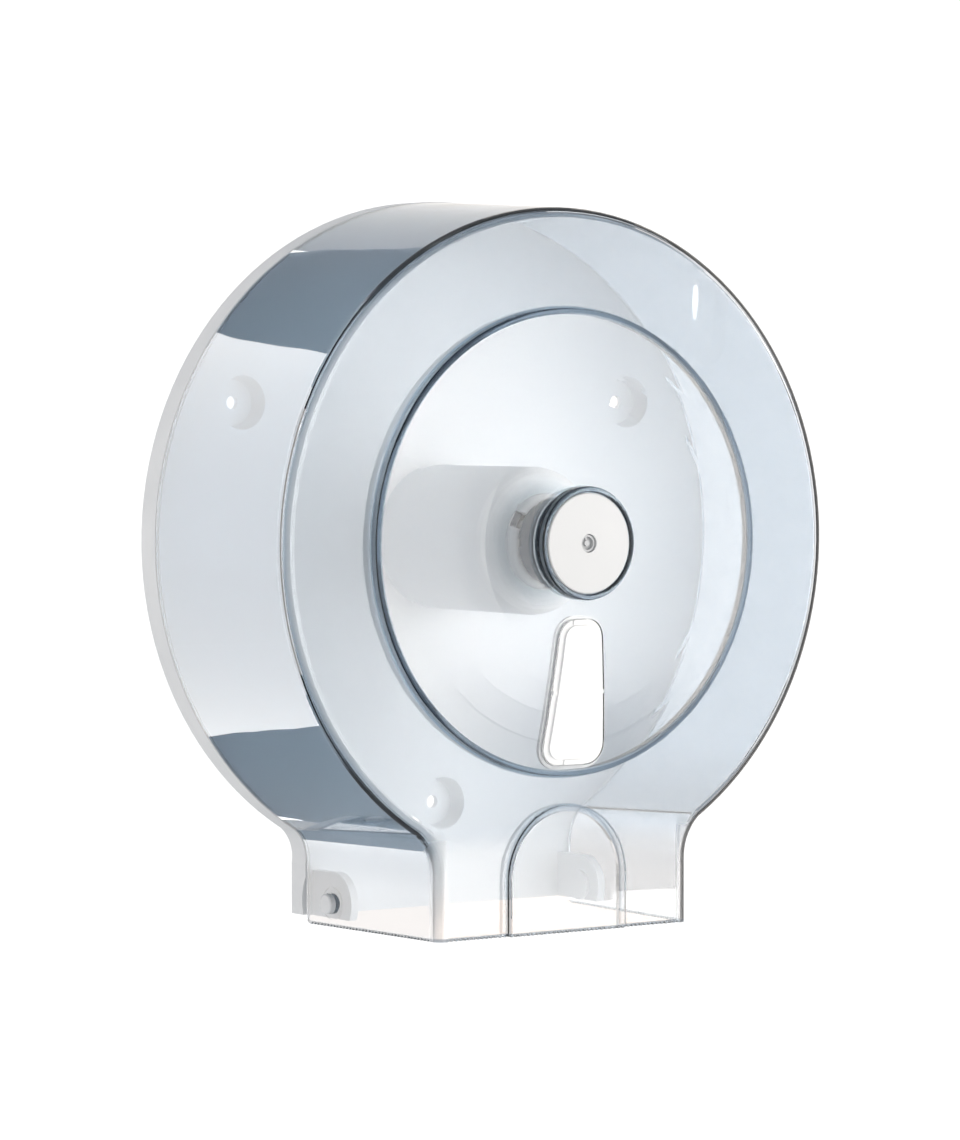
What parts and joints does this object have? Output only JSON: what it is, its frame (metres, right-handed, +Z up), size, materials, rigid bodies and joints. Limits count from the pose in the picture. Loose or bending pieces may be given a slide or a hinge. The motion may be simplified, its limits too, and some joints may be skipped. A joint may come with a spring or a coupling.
{
  "type": "jumbo toilet roll dispenser",
  "caption": "Wall dispenser for a large toilet roll: a white back plate with a roll hub, and a clear smoke blue round cover with tear teeth that hinges down and locks with a key.",
  "frame": {"origin": "the hub axis at the wall face, which is the centre of the circle of wall screws", "axes": "+Z up, +Y into the wall, +X to the right as seen from the front"},
  "size_m": [0.2604, 0.1067, 0.2771],
  "materials": {
    "back_plate": "smooth white moulded plastic",
    "hub": "smooth white moulded plastic",
    "hub_screws": "zinc plated steel",
    "lock_socket": "smooth white moulded plastic",
    "hinge_pin_left": "smooth white moulded plastic",
    "hinge_pin_right": "smooth white moulded plastic",
    "cover": "clear smoke blue plastic, polished",
    "window_insert": "smooth white moulded plastic",
    "lock_housing": "satin white moulded plastic",
    "lock_nut": "smoke grey moulded plastic",
    "lock_end_cap": "smooth white moulded plastic",
    "lock_spring": "drawn spring wire",
    "lock_core": "pale grey moulded plastic",
    "lock_cam": "pale grey moulded plastic",
    "lock_cam_screw": "zinc plated steel"
  },
  "bodies": {
    "base": {"back_plate": "back_plate", "hub": "hub", "hub_screws": "hub_screws", "lock_socket": "lock_socket", "hinge_pin_left": "hinge_pin_left", "hinge_pin_right": "hinge_pin_right"},
    "lid": {"cover": "cover", "window_insert": "window_insert", "lock_housing": "lock_housing", "lock_nut": "lock_nut", "lock_end_cap": "lock_end_cap", "lock_spring": "lock_spring"},
    "lock_rotor": {"lock_core": "lock_core", "lock_cam": "lock_cam", "lock_cam_screw": "lock_cam_screw"}
  },
  "joints": [
    {"name": "cover_hinge", "type": "hinge", "parent": "base", "child": "lid", "pos_m": [0, -0.0246, -0.1382], "axis": [1, 0, 0], "range_deg": [0, 90]},
    {"name": "lock_turn", "type": "hinge", "parent": "lid", "child": "lock_rotor", "pos_m": [0, -0.09, 0], "axis": [0, 1, 0], "range_deg": [0, 60]}
  ]
}
